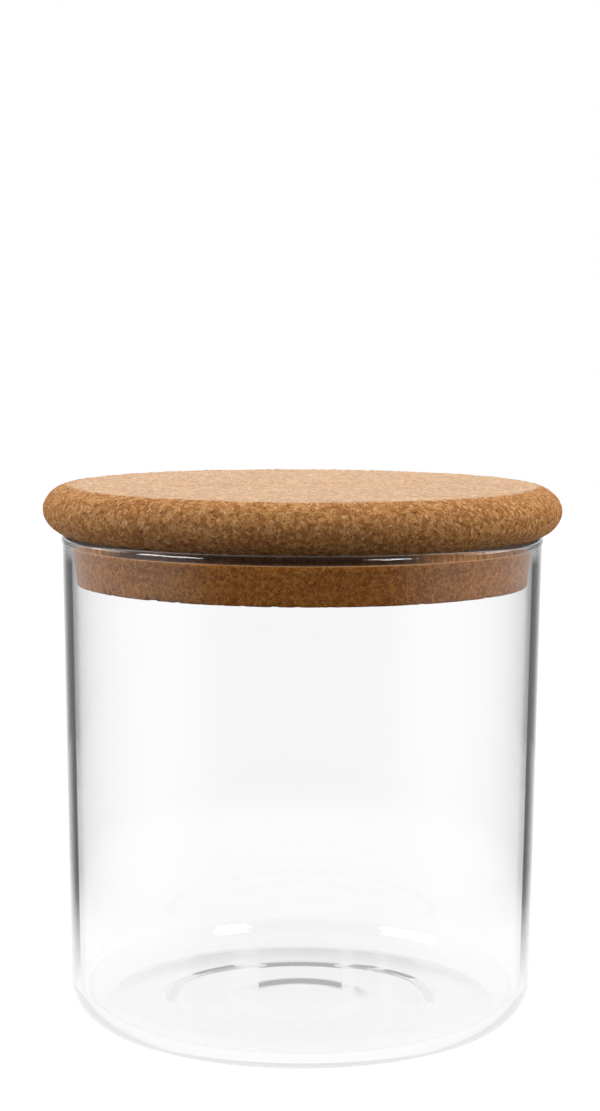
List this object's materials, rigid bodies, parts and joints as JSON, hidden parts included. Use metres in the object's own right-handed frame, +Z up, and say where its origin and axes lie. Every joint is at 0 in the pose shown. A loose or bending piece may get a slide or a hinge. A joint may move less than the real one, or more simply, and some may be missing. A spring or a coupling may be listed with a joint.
{
  "type": "glass jar with cork lid",
  "caption": "Clear cylindrical glass storage jar with a rounded heel and a fire-polished rim, closed by a thick bull-nosed cork disc with a tapered cork plug.",
  "frame": {"origin": "centre of the jar's base, on the surface that it stands on", "axes": "+Z up the jar's axis and out through the mouth; the jar is a body of revolution, so X and Y may be turned about Z"},
  "size_m": [0.1078, 0.1078, 0.1131],
  "materials": {
    "clear_glass": "clear, smooth and thin, colourless",
    "cork_disc": "sanded agglomerated cork, matte, with fine granules and small pits",
    "cork_plug": "sanded agglomerated cork, matte, a little darker and finer"
  },
  "bodies": {
    "jar": {"glass_jar": "clear_glass"},
    "lid": {"cork_disc": "cork_disc", "cork_plug": "cork_plug"}
  },
  "joints": [
    {"name": "lid_lift", "type": "slide", "parent": "jar", "child": "lid", "axis": [0, 0, 1], "range_m": [0, 0.08]}
  ]
}
